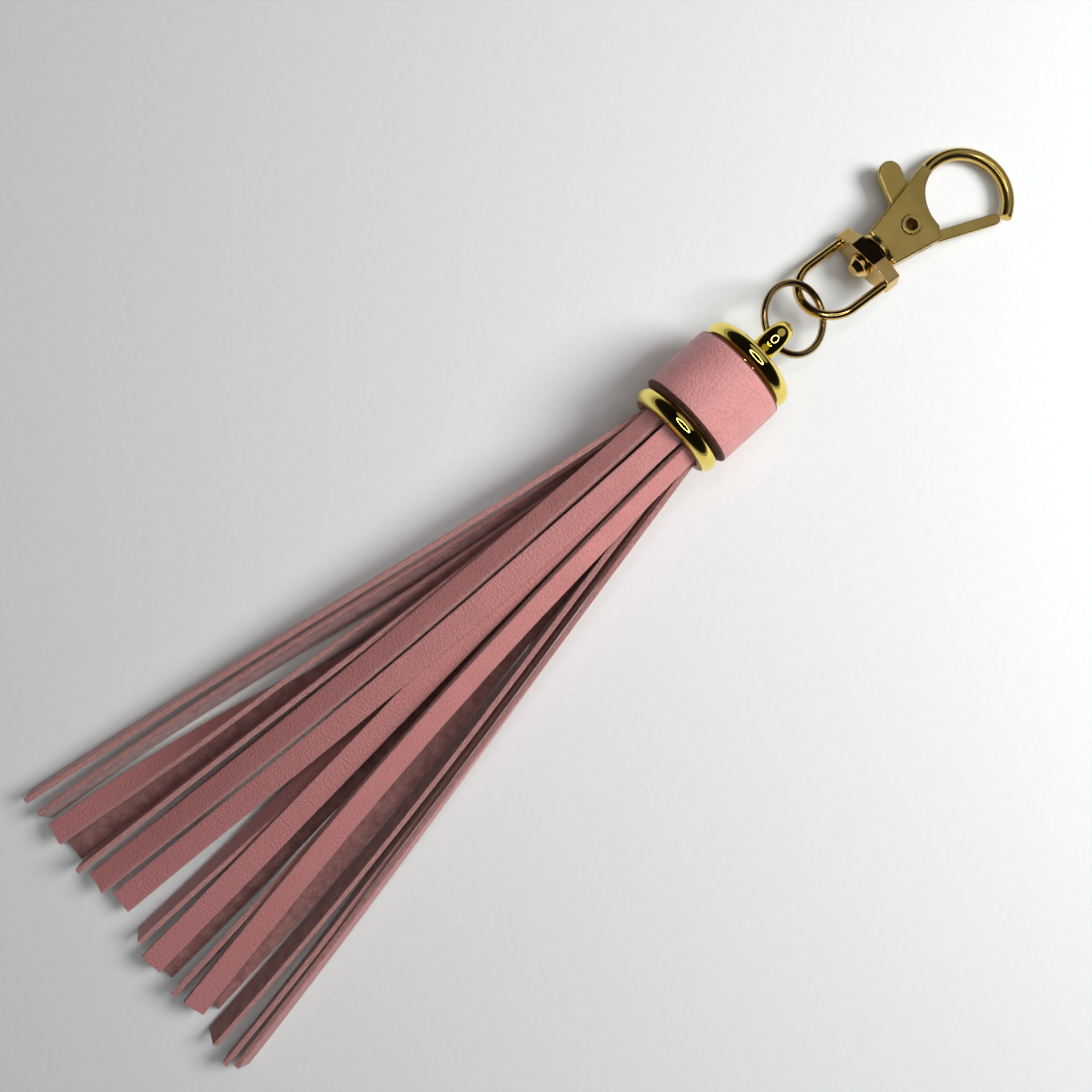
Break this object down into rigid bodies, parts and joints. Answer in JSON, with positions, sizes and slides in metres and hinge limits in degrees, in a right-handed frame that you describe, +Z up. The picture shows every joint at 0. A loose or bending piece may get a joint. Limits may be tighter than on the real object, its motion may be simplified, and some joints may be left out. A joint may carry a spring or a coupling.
{
  "type": "tassel keychain",
  "caption": "Leather tassel charm: flat leather strips hanging from a metal cap with a leather band, on a jump ring and a swivel trigger clasp.",
  "frame": {"origin": "on the surface the charm lies on, under the middle of its outline", "axes": "+X from the free ends of the fringe toward the hook of the clasp, +Y to the left of it, +Z up from the surface"},
  "size_m": [0.1868, 0.0561, 0.0168],
  "materials": {
    "bright_gold": "polished light gold plating",
    "dark_gold": "worn gold-plated wire, darker than the cap",
    "antique_gold": "satin light gold plating over die-cast metal, slightly worn",
    "pebbled_leather": "pebbled grain, pink, raw cut edges",
    "fringe_leather": "fine grain on one side, suede on the other, lighter fibrous cut edges",
    "glue": "set glue",
    "spring_steel": "spring wire"
  },
  "bodies": {
    "head": {"tassel_cap": "bright_gold", "hanging_eye": "bright_gold", "collar_ring": "bright_gold", "leather_band": "pebbled_leather", "fringe_header": "fringe_leather", "glue_plug": "glue"},
    "strip_01": {"fringe_strip_01": "fringe_leather"},
    "strip_02": {"fringe_strip_02": "fringe_leather"},
    "strip_03": {"fringe_strip_03": "fringe_leather"},
    "strip_04": {"fringe_strip_04": "fringe_leather"},
    "strip_05": {"fringe_strip_05": "fringe_leather"},
    "strip_06": {"fringe_strip_06": "fringe_leather"},
    "strip_07": {"fringe_strip_07": "fringe_leather"},
    "strip_08": {"fringe_strip_08": "fringe_leather"},
    "strip_09": {"fringe_strip_09": "fringe_leather"},
    "strip_10": {"fringe_strip_10": "fringe_leather"},
    "strip_11": {"fringe_strip_11": "fringe_leather"},
    "strip_12": {"fringe_strip_12": "fringe_leather"},
    "strip_13": {"fringe_strip_13": "fringe_leather"},
    "strip_14": {"fringe_strip_14": "fringe_leather"},
    "strip_15": {"fringe_strip_15": "fringe_leather"},
    "strip_16": {"fringe_strip_16": "fringe_leather"},
    "strip_17": {"fringe_strip_17": "fringe_leather"},
    "ring": {"jump_ring": "dark_gold"},
    "loop": {"swivel_loop": "antique_gold"},
    "clasp": {"clasp_body": "antique_gold", "swivel_rivet": "antique_gold", "pivot_rivet": "antique_gold", "trigger_spring": "spring_steel"},
    "trigger": {"trigger_lever": "antique_gold"}
  },
  "joints": [
    {"name": "ring_swing", "type": "hinge", "parent": "head", "child": "ring", "pos_m": [0.0461, 0, 0.008], "axis": [0.0531, 0.9594, 0.2771], "range_deg": [-75, 75]},
    {"name": "loop_swing", "type": "hinge", "parent": "ring", "child": "loop", "pos_m": [0.05571, 0.00047, 0.0044], "axis": [0.0657, 0.9969, -0.0423], "range_deg": [-60, 50]},
    {"name": "swivel", "type": "hinge", "parent": "loop", "child": "clasp", "pos_m": [0.0684, -0.00095, 0.00345], "axis": [0.9919, -0.1043, -0.0732], "continuous": true},
    {"name": "trigger", "type": "hinge", "parent": "clasp", "child": "trigger", "pos_m": [0.07487, -0.00143, 0.00297], "axis": [0.0728, -0.0077, 0.9973], "range_deg": [0, 28], "stiffness_Nm_per_rad": 0.01, "springref_deg": -22.92},
    {"name": "strip_03_spread", "type": "hinge", "parent": "head", "child": "strip_03", "pos_m": [0.024, 0.00575, 0.0084], "axis": [0, 0, -1], "range_deg": [0, 14]},
    {"name": "strip_04_spread", "type": "hinge", "parent": "head", "child": "strip_04", "pos_m": [0.024, 0.00534, 0.00465], "axis": [0, 0, -1], "range_deg": [0, 11.9]},
    {"name": "strip_05_spread", "type": "hinge", "parent": "head", "child": "strip_05", "pos_m": [0.024, 0.0018, 0.0031], "axis": [0, 0, -1], "range_deg": [0, 7.98]},
    {"name": "strip_10_spread", "type": "hinge", "parent": "head", "child": "strip_10", "pos_m": [0.024, 0.00446, 0.00867], "axis": [0, 0, -1], "range_deg": [0, 6.72]},
    {"name": "strip_11_spread", "type": "hinge", "parent": "head", "child": "strip_11", "pos_m": [0.024, 0.00377, 0.00509], "axis": [0, 0, -1], "range_deg": [0, 10.22]},
    {"name": "strip_17_spread", "type": "hinge", "parent": "head", "child": "strip_17", "pos_m": [0.024, 0.00285, 0.0084], "axis": [0, 0, -1], "range_deg": [0, 4.62]},
    {"name": "strip_07_spread", "type": "hinge", "parent": "head", "child": "strip_07", "pos_m": [0.024, -0.00575, 0.0084], "axis": [0, 0, 1], "range_deg": [0, 14]},
    {"name": "strip_06_spread", "type": "hinge", "parent": "head", "child": "strip_06", "pos_m": [0.024, -0.00534, 0.00465], "axis": [0, 0, 1], "range_deg": [0, 12.88]},
    {"name": "strip_08_spread", "type": "hinge", "parent": "head", "child": "strip_08", "pos_m": [0.024, -0.00534, 0.01215], "axis": [0, 0, 1], "range_deg": [0, 7.98]},
    {"name": "strip_09_spread", "type": "hinge", "parent": "head", "child": "strip_09", "pos_m": [0.024, -0.00172, 0.0123], "axis": [0, 0, 1], "range_deg": [0, 2.52]},
    {"name": "strip_12_spread", "type": "hinge", "parent": "head", "child": "strip_12", "pos_m": [0.024, -0.00446, 0.00867], "axis": [0, 0, 1], "range_deg": [0, 10.64]},
    {"name": "strip_13_spread", "type": "hinge", "parent": "head", "child": "strip_13", "pos_m": [0.024, -0.00377, 0.00509], "axis": [0, 0, 1], "range_deg": [0, 9.24]},
    {"name": "strip_14_spread", "type": "hinge", "parent": "head", "child": "strip_14", "pos_m": [0.024, -0.0015, 0.0108], "axis": [0, 0, 1], "range_deg": [0, 0.7]},
    {"name": "strip_15_spread", "type": "hinge", "parent": "head", "child": "strip_15", "pos_m": [0.024, -0.00285, 0.0084], "axis": [0, 0, 1], "range_deg": [0, 6.02]},
    {"name": "strip_16_spread", "type": "hinge", "parent": "head", "child": "strip_16", "pos_m": [0.024, -0.0015, 0.006], "axis": [0, 0, 1], "range_deg": [0, 3.78]},
    {"name": "strip_01_lift", "type": "hinge", "parent": "head", "child": "strip_01", "pos_m": [0.024, 0, 0.01415], "axis": [0, 1, 0], "range_deg": [0, 30]},
    {"name": "strip_02_lift", "type": "hinge", "parent": "head", "child": "strip_02", "pos_m": [0.024, 0.00375, 0.01374], "axis": [0, 1, 0], "range_deg": [0, 30]}
  ],
  "couplings": [
    {"joint": "strip_04_spread", "follows": "strip_03_spread", "ratio": 0.85},
    {"joint": "strip_05_spread", "follows": "strip_03_spread", "ratio": 0.57},
    {"joint": "strip_10_spread", "follows": "strip_03_spread", "ratio": 0.48},
    {"joint": "strip_11_spread", "follows": "strip_03_spread", "ratio": 0.73},
    {"joint": "strip_17_spread", "follows": "strip_03_spread", "ratio": 0.33},
    {"joint": "strip_06_spread", "follows": "strip_07_spread", "ratio": 0.92},
    {"joint": "strip_08_spread", "follows": "strip_07_spread", "ratio": 0.57},
    {"joint": "strip_09_spread", "follows": "strip_07_spread", "ratio": 0.18},
    {"joint": "strip_12_spread", "follows": "strip_07_spread", "ratio": 0.76},
    {"joint": "strip_13_spread", "follows": "strip_07_spread", "ratio": 0.66},
    {"joint": "strip_14_spread", "follows": "strip_07_spread", "ratio": 0.05},
    {"joint": "strip_15_spread", "follows": "strip_07_spread", "ratio": 0.43},
    {"joint": "strip_16_spread", "follows": "strip_07_spread", "ratio": 0.27}
  ]
}
